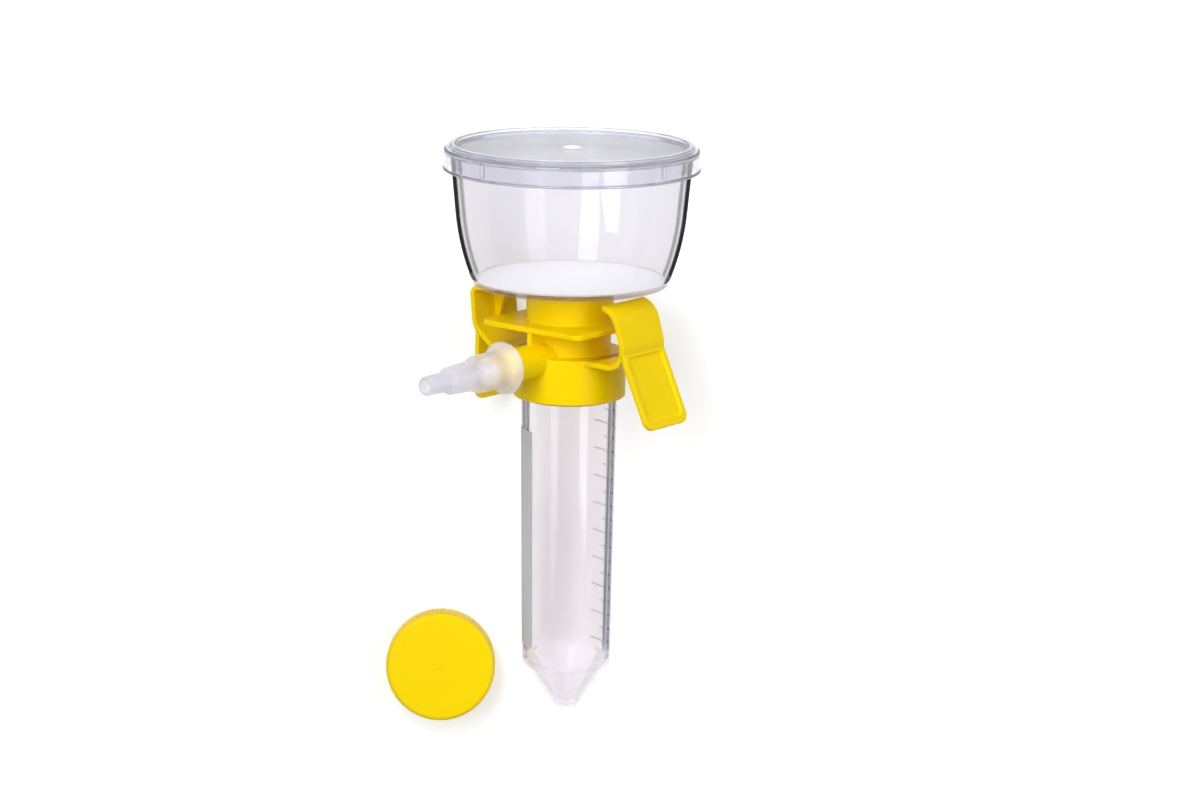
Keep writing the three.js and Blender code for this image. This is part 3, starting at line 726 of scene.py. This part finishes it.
class OBJECT_OT_filtration_funnel(bpy.types.Operator):
    """Make the clear funnel with its spigot and drained floor, and finish its membrane"""

    bl_idname = "object.filtration_funnel"
    bl_label = "Funnel and membrane"

    def wall_line(self, s, inset):
        """The outside of the wall moved in by an inset, from the foot to the rim, in mm."""
        foot, rim = in_mm(s.base_radius), in_mm(s.rim_radius)
        low, top = in_mm(s.bottom), in_mm(s.rim_top)
        bend_radius, bend_height = 35.4, 22.2
        taper = (rim - bend_radius) / (top - low - bend_height)
        flare = math.tan(math.radians(23))
        crossing = (bend_radius - taper * bend_height - foot) / (flare - taper)
        return bezier(
            (foot - inset, low),
            (foot + flare * crossing - inset, low + crossing),
            (bend_radius - inset, low + bend_height),
            steps=14,
        )

    def execute(self, context):
        s = context.scene.filtration_funnel
        plastics = context.scene.filtration_plastics
        wall, low, top, ledge = in_mm(s.wall), in_mm(s.bottom), in_mm(s.rim_top), in_mm(s.floor)
        rim = in_mm(s.rim_radius)
        spigot_bore, spigot, spigot_end = 9.9, 11.4, low - 8.5
        outlet, recess, recess_floor = 3.5, 27.4, low + 0.8
        outer = self.wall_line(s, 0)
        inner = [p for p in reversed(self.wall_line(s, wall)) if p[1] > ledge + 0.3]
        floor_edge = inner[-1][0] - 0.2
        corners = [
            (spigot_bore, low, 0.3),
            (spigot_bore, spigot_end, 0.2),
            (spigot, spigot_end, 0.4),
            (spigot, low, 0.2),
            (*outer[0], 0.9),
            *outer[1:],
            (rim, top, 0.5),
            (rim - wall, top, 0.5),
            *inner,
            (floor_edge, ledge, 0.4),
            (recess, ledge, 0.15),
            (recess, recess_floor, 0.15),
            (outlet, recess_floor, 0.2),
            (outlet, low, 0.1),
        ]
        start, run, width = 3.3, 27.8 - 3.3, 1.0
        ribs = bmesh.new()
        for k in range(12):
            rib = block((run, width, width), (start + run / 2, 0, ledge - width / 2))
            join_into(ribs, rib, Matrix.Rotation(k * math.pi / 6, 4, "Z"))
        bm = combined(turned(rounded(corners, 5), plastics.round_steps), ribs, "UNION")
        piece = mesh_of("funnel_clear", bm, UNIT)
        foot = (ledge + 0.8, ledge + 0.81, plastics.cup_foot, 0.65)
        # Painted shade darkens the funnel's walls where they are seen along themselves.
        material = clear_polystyrene(
            plastics, "funnel_polystyrene", plastics.cup, plastics.cup_edge_painted_shade, foot, 40.0
        )
        dress(piece, material, "unit", "clear_cup", "funnel")
        paint(frame["nodes"]["membrane"], membrane_paper(plastics))
        return {"FINISHED"}


# ---------------------------------------------------------------- adapter and connector


# A lever's steps are (length,) for a straight run and (radius, degrees) for a bend upwards. The
# pad hangs from the end of one step, and the gusset runs from there to the end of another.
LEVERS = (
    {
        "turn": 0.0,
        "steps": ((8.9,), (5.7, 80), (5.7, 27.5), (6.1,), (7.1, 45), (7.1, 20)),
        "pad_after": 1,
        "gusset_to": 4,
        "lean": 25.5,
        "pad": 24.4,
    },
    {
        "turn": math.pi,
        "steps": ((8.5,), (4, 38), (5.1,), (5, 7), (5, 39), (7.7,), (2.4, 90), (4.2,), (3.3,)),
        "pad_after": 3,
        "gusset_to": 7,
        "lean": 1.1,
        "pad": 22.4,
    },
)
LEVER_ROOT = 14.0  # from the unit's axis, inside the collar's roof
GUSSET, WEB = 1.3, 1.6  # thickness
PLATE_LAP = 0.9  # what meets the plate reaches this far under its top


def strip_line(steps, start_height):
    """Centre line of a lever as (x, z, heading) in mm, and the point after each step."""
    x, z, heading = LEVER_ROOT, start_height, 0.0
    points = [(x, z, heading)]
    ends = []
    for size, *bend in steps:
        facets = math.ceil(bend[0] / 5) if bend else 1  # of 5 degrees at most
        half = math.radians(bend[0] / facets / 2) if bend else 0.0
        chord = 2 * size * math.sin(half) if bend else size
        for _ in range(facets):
            x += chord * math.cos(heading + half)
            z += chord * math.sin(heading + half)
            heading += 2 * half
            points.append((x, z, heading))
        ends.append(len(points) - 1)
    return points, ends


def upright(width):
    """Turns a prism made on the X-Y plane so that its outline stands in the X-Z plane."""
    return Matrix.Translation((0, mm(width / 2), 0)) @ Matrix.Rotation(math.pi / 2, 4, "X")


def lever_strip(points, s):
    """The bent strip of a lever, with its outline in the X-Y plane."""
    half = in_mm(s.lever_thickness) / 2
    under = [(x + half * math.sin(h), z - half * math.cos(h)) for x, z, h in points]
    over = [(x - half * math.sin(h), z + half * math.cos(h)) for x, z, h in reversed(points)]
    return prism(under + over, in_mm(s.lever_width), in_mm(s.edge_round))


def lever_gusset(points, ends, lever):
    """The web across a lever's bends, with its outline in the X-Y plane."""
    spanned = points[ends[lever["pad_after"]] : ends[lever["gusset_to"]] + 1]
    return prism([(x, z) for x, z, _ in spanned], GUSSET)


def thumb_pad(s, drop):
    """A pad in its own frame: across along X, down its face along Y, outward along Z."""
    half, thick = in_mm(s.lever_width) / 2, in_mm(s.pad_thickness)
    corner, border = 3.2, 1.7
    outline = [(-half, 0), (half, 0), (half, drop, corner), (-half, drop, corner)]
    slab = prism(rounded(outline, 8), thick, in_mm(s.edge_round))
    bmesh.ops.translate(slab, vec=(0, 0, -mm(thick / 2)), verts=slab.verts)
    x, low, high = half - border, 1.3, drop - 2.2
    recess = [(-x, low, 1.6), (x, low, 1.6), (x, high, 2.2), (-x, high, 2.2)]
    pocket = prism(rounded(recess, 6), 3.0, 0.65)
    rise = mm(thick / 2) - s.pocket_depth
    bmesh.ops.translate(pocket, vec=(0, 0, rise), verts=pocket.verts)
    return combined(slab, pocket, "DIFFERENCE")


def pad_place(points, ends, lever):
    x, z, _ = points[ends[lever["pad_after"]]]
    lean = math.radians(lever["lean"])
    across = Vector((0, -1, 0))
    down = Vector((math.sin(lean), 0, -math.cos(lean)))
    outward = Vector((math.cos(lean), 0, math.sin(lean)))
    turn = Matrix((across, down, outward)).transposed().to_4x4()
    return Matrix.Translation((mm(x), 0, mm(z))) @ turn


def port_place():
    """The stub's own frame: its axis runs out from the unit's axis towards -Y."""
    return Matrix.Translation((0, 0, mm(PORT_HEIGHT))) @ Matrix.Rotation(math.pi / 2, 4, "X")


class OBJECT_OT_filtration_adapter(bpy.types.Operator):
    """Make the yellow moulding: neck, plate, chamber, collar, stub, web and finger levers"""

    bl_idname = "object.filtration_adapter"
    bl_label = "Adapter"

    def core(self, s, steps):
        collar, low, top = in_mm(s.collar_radius), in_mm(s.collar_bottom), in_mm(s.collar_top)
        chamber, neck = in_mm(s.chamber_radius), in_mm(s.neck_radius)
        plate_top, rim = in_mm(s.plate_top), in_mm(s.neck_top)
        bore, roof = 16.25, 111.8
        chamber_bore, chamber_roof, neck_bore = 11.2, 122.5, 11.7
        nozzle_end, fillet = 105.9, 0.8
        corners = [
            (bore, low, 0.2),
            (collar, low, 0.4),
            (collar, top, 0.6),
            (chamber, top, 0.5),
            (chamber, plate_top - PLATE_LAP),
            (neck + fillet, plate_top - PLATE_LAP),
            *arc_points((neck + fillet, plate_top + fillet), fillet, 270, 180, 6),
            (neck, rim, 0.35),
            (neck_bore, rim, 0.35),
            (neck_bore, plate_top, 0.3),
            (2.4, plate_top - 1.2, 0.2),
            (1.9, nozzle_end),
            (3.3, nozzle_end, 0.2),
            (3.8, chamber_roof, 0.4),
            (chamber_bore, chamber_roof, 0.4),
            (chamber_bore, roof, 0.3),
            (bore, roof, 0.3),
        ]
        return turned(rounded(corners), steps)

    def plate(self, s, steps):
        half, thick, corner = in_mm(s.plate_half), in_mm(s.plate_thickness), 3
        signs = ((-1, -1), (1, -1), (1, 1), (-1, 1))
        square = [(x * half, y * half, corner) for x, y in signs]
        bm = prism(rounded(square, 8), thick, in_mm(s.edge_round))
        bmesh.ops.translate(bm, vec=(0, 0, s.plate_top - s.plate_thickness), verts=bm.verts)
        radius, low, high = 12, 120, 128
        middle = [(0, low), (radius, low), (radius, high), (0, high)]
        return combined(bm, turned(middle, steps, closed=False), "DIFFERENCE")

    def stub(self, steps):
        bore, end, nose = 1.7, 31.3, 37.8
        corners = [
            (bore, 12),
            (5.2, 12),
            (5.2, end, 0.3),
            (4.0, end, 0.2),
            (4.0, nose, 0.4),
            (2.8, nose, 0.2),
            (2.8, 32.7),
            (bore, 32.7),
        ]
        bm = turned(rounded(corners), steps)
        bm.transform(port_place())
        radius, low, high = 16.4, 95, 111.7
        thread_room = [(0, low), (radius, low), (radius, high), (0, high)]
        return combined(bm, turned(thread_room, steps, closed=False), "DIFFERENCE")

    def web(self, s):
        outer, inner = -in_mm(s.plate_half) + 0.3, -12
        low, high = PORT_HEIGHT, in_mm(s.plate_top) - PLATE_LAP
        bm = prism([(outer, low), (inner, low), (inner, high), (outer, high)], WEB, 0.25)
        bm.transform(Matrix.Rotation(math.pi / 2, 4, "Z") @ upright(WEB))
        return bm

    def execute(self, context):
        s = context.scene.filtration_adapter
        plastics = context.scene.filtration_plastics
        steps = plastics.round_steps
        bm = bmesh.new()
        for part in (self.core(s, steps), self.plate(s, steps), self.stub(steps // 2), self.web(s)):
            join_into(bm, part)
        for lever in LEVERS:
            points, ends = strip_line(lever["steps"], in_mm(s.collar_top - s.lever_thickness / 2))
            around = Matrix.Rotation(lever["turn"], 4, "Z")
            join_into(bm, lever_strip(points, s), around @ upright(in_mm(s.lever_width)))
            join_into(bm, lever_gusset(points, ends, lever), around @ upright(GUSSET))
            join_into(bm, thumb_pad(s, lever["pad"]), around @ pad_place(points, ends, lever))
        piece = mesh_of("adapter_moulding", bm, UNIT)
        material = yellow_polypropylene(plastics, "yellow_adapter", 0.2)
        dress(piece, material, "unit", "yellow", "adapter")
        return {"FINISHED"}


class OBJECT_OT_filtration_connector(bpy.types.Operator):
    """Make the milky stepped hose connector with its flared bell"""

    bl_idname = "object.filtration_connector"
    bl_label = "Hose connector"

    def execute(self, context):
        plastics = context.scene.filtration_plastics
        grip, length, bore, socket = 5.75, 35.2, 1.9, 4.3
        corners = [
            (7.0, 0, 0.3),
            (8.0, 0, 0.3),
            *bezier((8, 0.8), (grip, 2.4), (grip, 5.5), steps=8),
            (grip, 12.5, 0.4),
            (4.65, 15.5, 0.4),
            (4.2, 25, 0.3),
            (3.1, 27, 0.3),
            (2.9, length, 0.4),
            (bore, length, 0.3),
            (bore, 7.7, 0.2),
            (socket, 7.7, 0.3),
            (socket, 2.6, 0.3),
            (5.5, 1.2, 0.4),
        ]
        corners = [(r, z + BELL_END, *c) for r, z, *c in corners]
        bm = turned(rounded(corners), plastics.round_steps // 2)
        piece = mesh_of("connector_milky", bm, UNIT @ port_place())
        material = milky_polypropylene(plastics)
        dress(piece, material, "unit", "milky", "hose_connector")
        return {"FINISHED"}


class OBJECT_OT_filtration_inner_pieces(bpy.types.Operator):
    """Finish the seal ring and the filter wad, which stay as they are built"""

    bl_idname = "object.filtration_inner_pieces"
    bl_label = "Seal and filter wad"

    def execute(self, context):
        for node, material in (("tube_seal", seal_rubber()), ("port_filter", fibre_wadding())):
            paint(frame["nodes"][node], material)
        return {"FINISHED"}


# ---------------------------------------------------------------- tube and cap


TICKS = 18
TICK_REACH = (58, 40)  # degrees round the tube, of the main lines and of those between
TICK_HALF = 0.2
PATCH_HEIGHTS, PATCH_HALF = (21.5, 91), math.radians(23)
INK_SKIN, PATCH_SKIN = 0.05, 0.06
WALL_TOP = 100  # height where the wall reaches the neck's radius


def on_tube(bm, s, low, high, start, end, skin):
    """A thin print on the tube, between two heights in mm and two angles."""
    lean = (s.neck_radius - s.shoulder_radius) / (mm(WALL_TOP) - s.shoulder)
    a, b = (in_mm(s.shoulder_radius + lean * (mm(z) - s.shoulder)) for z in (low, high))
    gap = 0.01
    corners = [(a + gap, low), (a + skin, low), (b + skin, high), (b + gap, high)]
    piece = bmesh.new()
    face = piece.faces.new([piece.verts.new((mm(r), 0, mm(z))) for r, z in corners])
    steps = max(2, math.ceil(abs(end - start) / math.radians(3)))  # of 3 degrees at most
    bmesh.ops.spin(
        piece,
        geom=[face, *face.edges, *face.verts],
        axis=(0, 0, 1),
        cent=(0, 0, 0),
        angle=end - start,
        steps=steps,
    )
    bmesh.ops.recalc_face_normals(piece, faces=piece.faces)
    join_into(bm, piece, Matrix.Rotation(start, 4, "Z"))


class OBJECT_OT_filtration_tube(bpy.types.Operator):
    """Make the conical tube with its printed scale and its frosted writing patch"""

    bl_idname = "object.filtration_tube"
    bl_label = "Tube"

    def execute(self, context):
        s = context.scene.filtration_tube
        plastics = context.scene.filtration_plastics
        rim, wall = in_mm(s.length), in_mm(s.wall)
        shoulder, shoulder_r = in_mm(s.shoulder), in_mm(s.shoulder_radius)
        neck_r, crest, thread = in_mm(s.neck_radius), 15.8, 101
        corners = [
            (0, 0),
            (3.4, 0, 0.9),
            (shoulder_r, shoulder, 1.8),
            (neck_r, thread - 0.6, 0.3),
            (crest, thread, 0.4),
            (crest, rim, 0.4),
            (neck_r - wall, rim, 0.3),
            (neck_r - wall, thread),
            (shoulder_r - wall, shoulder + 0.6, 4.0),
            (2.8, 1.9, 1.0),
            (0, 1.3),
        ]
        bm = turned(rounded(corners, 6, closed=False), plastics.round_steps, closed=False)
        piece = mesh_of("tube_clear", bm, UNIT)
        dress(piece, clear_polypropylene(plastics), "tube", "clear_tube", "tube")

        scale = bmesh.new()
        start = s.scale_angle
        for k in range(TICKS):
            height = in_mm(s.first_tick) + k * in_mm(s.tick_pitch) / 2
            low, high = height - TICK_HALF, height + TICK_HALF
            on_tube(scale, s, low, high, start, start + math.radians(TICK_REACH[k % 2]), INK_SKIN)
        piece = mesh_of("tube_scale", scale, UNIT)
        dress(piece, printed_ink(plastics), "tube", "clear_tube")

        patch = bmesh.new()
        start, end = s.frost_angle - PATCH_HALF, s.frost_angle + PATCH_HALF
        on_tube(patch, s, *PATCH_HEIGHTS, start, end, PATCH_SKIN)
        piece = mesh_of("tube_patch", patch, UNIT)
        dress(piece, frosted_patch(), "tube", "clear_tube")
        return {"FINISHED"}


class OBJECT_OT_filtration_cap(bpy.types.Operator):
    """Make the screw cap with its fine grip ribs"""

    bl_idname = "object.filtration_cap"
    bl_label = "Tube cap"

    def execute(self, context):
        s = context.scene.filtration_cap
        plastics = context.scene.filtration_plastics
        side, top = in_mm(s.radius - s.rib_depth), in_mm(s.height)
        low, high = in_mm(s.rib_bottom), in_mm(s.rib_top)
        roof, bore, seal, seal_in, seal_out = 12.4, 16.0, 10.4, 12.3, 13.2
        corners = [
            (0, roof),
            (seal_in, roof),
            (seal_in, seal, 0.2),
            (seal_out, seal, 0.2),
            (seal_out, roof),
            (bore, roof, 0.5),
            (bore, 0, 0.2),
            (side, 0, 0.4),
            (side, low),
            (side, low + 0.35),
            (side, high - 0.35),
            (side, high),
            (side, top, 1.6),
            (0.7, top, 0.1),
            (0.65, top + 0.3, 0.15),
            (0, top + 0.3),
        ]
        facets_per_rib = 6
        bm = turned(rounded(corners, 6, closed=False), s.ribs * facets_per_rib, closed=False)
        for vert in bm.verts:
            z, radius = in_mm(vert.co.z), in_mm(vert.co.xy.length)
            if low + 0.1 < z < high - 0.1 and radius > side - 0.2:
                wave = 0.5 - 0.5 * math.cos(s.ribs * math.atan2(vert.co.y, vert.co.x))
                vert.co.xy *= 1 + in_mm(s.rib_depth) * wave**0.6 / radius
        piece = mesh_of("cap_ribbed", bm, cap_place())
        material = yellow_polypropylene(plastics, "yellow_cap", 0.0)
        dress(piece, material, "unit", "yellow", "tube_cap")
        return {"FINISHED"}


# ---------------------------------------------------------------- stage


def seen_plainly(tree):
    """1 for what the camera, glass and gloss see, 0 for the light that falls on things."""
    path = tree.nodes.new("ShaderNodeLightPath")
    value = path.outputs["Is Camera Ray"]
    for name in ("Is Glossy Ray", "Is Transmission Ray"):
        value = add_math(tree, "MAXIMUM", value, path.outputs[name])
    return value


class OBJECT_OT_filtration_stage(bpy.types.Operator):
    """Make the pale floor, the soft studio light and the camera"""

    bl_idname = "object.filtration_stage"
    bl_label = "Stage"

    def floor(self):
        bm = bmesh.new()
        bmesh.ops.create_grid(bm, x_segments=1, y_segments=1, size=3.0)
        mesh = bpy.data.meshes.new("floor")
        bm.to_mesh(mesh)
        bm.free()
        floor = add_object("floor", mesh)
        material, tree, shader = new_material("pale_floor")
        shader.inputs["Base Color"].default_value = (0.6, 0.6, 0.6, 1.0)
        shader.inputs["Roughness"].default_value = 0.9
        shader.inputs["Emission Color"].default_value = WHITE
        lift = add_math(tree, "MULTIPLY", seen_plainly(tree), 0.5)
        tree.links.new(lift, shader.inputs["Emission Strength"])
        mesh.materials.append(material)

    def world(self):
        world = bpy.data.worlds.new("studio")
        world.use_nodes = True
        tree = world.node_tree
        background = tree.nodes["Background"]
        background.inputs["Color"].default_value = WHITE
        strength = map_range(tree, seen_plainly(tree), 0.0, 1.0, low=0.18)
        tree.links.new(strength, background.inputs["Strength"])
        bpy.context.scene.world = world

    def lamp(self, name, place, watts):
        """A soft box that faces the origin with its long side along the unit."""
        data = bpy.data.lights.new(name, "AREA")
        data.shape = "RECTANGLE"
        data.size, data.size_y = 0.5, 1.4
        data.energy = watts
        away = Vector(place).normalized()
        across = Vector((1, 0, 0)).cross(away).normalized()
        turn = Matrix((across, away.cross(across), away)).transposed().to_4x4()
        add_object(name, data).matrix_world = Matrix.Translation(place) @ turn

    def camera(self):
        data = bpy.data.cameras.new("camera")
        data.sensor_width = 36.0
        data.lens = 95.1
        data.clip_end = 20.0
        yaw, pitch, roll = math.radians(39.5), math.radians(12.98), math.radians(0.84)
        side = Vector((math.cos(yaw), math.sin(yaw), 0))
        ahead = Vector((-math.sin(yaw), math.cos(yaw), 0))
        aside, back, height = mm(9.61), mm(957.3), mm(319.9)
        place = aside * side - back * ahead + Vector((0, 0, height))
        view = ahead * math.cos(pitch) - Vector((0, 0, math.sin(pitch)))
        up = ahead * math.sin(pitch) + Vector((0, 0, math.cos(pitch)))
        turn = Matrix((side, up, -view)).transposed().to_4x4()
        turn = turn @ Matrix.Rotation(roll, 4, "Z")
        camera = add_object("camera", data)
        camera.matrix_world = UNIT @ Matrix.Translation(place) @ turn
        bpy.context.scene.camera = camera

    def execute(self, context):
        self.floor()
        self.world()
        self.lamp("key", (0.5, 0.45, 1.2), watts=15.5)
        self.lamp("fill", (0.1, -0.8, 1.0), watts=6.5)
        self.camera()
        context.scene.view_settings.view_transform = "Standard"
        return {"FINISHED"}


# ---------------------------------------------------------------- panel and registration


class VIEW3D_PT_filtration(bpy.types.Panel):
    """The unit's pieces and settings"""

    bl_label = "Vacuum filtration unit"
    bl_idname = "VIEW3D_PT_filtration"
    bl_space_type = "VIEW_3D"
    bl_region_type = "UI"
    bl_category = "Filtration"

    def draw(self, context):
        for name in SETTINGS:
            box = self.layout.box()
            group = getattr(context.scene, name)
            for field in group.__annotations__:
                box.prop(group, field)
        for operator in OPERATORS:
            self.layout.operator(operator.bl_idname)


SETTINGS = {
    "filtration_plastics": PlasticSettings,
    "filtration_lid": LidSettings,
    "filtration_funnel": FunnelSettings,
    "filtration_adapter": AdapterSettings,
    "filtration_tube": TubeSettings,
    "filtration_cap": CapSettings,
}
OPERATORS = (
    OBJECT_OT_filtration_stage,
    OBJECT_OT_filtration_lid,
    OBJECT_OT_filtration_funnel,
    OBJECT_OT_filtration_adapter,
    OBJECT_OT_filtration_connector,
    OBJECT_OT_filtration_inner_pieces,
    OBJECT_OT_filtration_tube,
    OBJECT_OT_filtration_cap,
)


def register():
    for cls in (*SETTINGS.values(), *OPERATORS, VIEW3D_PT_filtration):
        bpy.utils.register_class(cls)
    for name, cls in SETTINGS.items():
        setattr(bpy.types.Scene, name, PointerProperty(type=cls))


def unregister():
    for name in SETTINGS:
        delattr(bpy.types.Scene, name)
    for cls in (VIEW3D_PT_filtration, *reversed(OPERATORS), *reversed(SETTINGS.values())):
        bpy.utils.unregister_class(cls)


def main():
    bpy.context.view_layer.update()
    register()
    bpy.ops.object.filtration_stage()
    bpy.ops.object.filtration_lid()
    bpy.ops.object.filtration_funnel()
    bpy.ops.object.filtration_adapter()
    bpy.ops.object.filtration_connector()
    bpy.ops.object.filtration_inner_pieces()
    bpy.ops.object.filtration_tube()
    bpy.ops.object.filtration_cap()


if __name__ == "__main__":
    main()
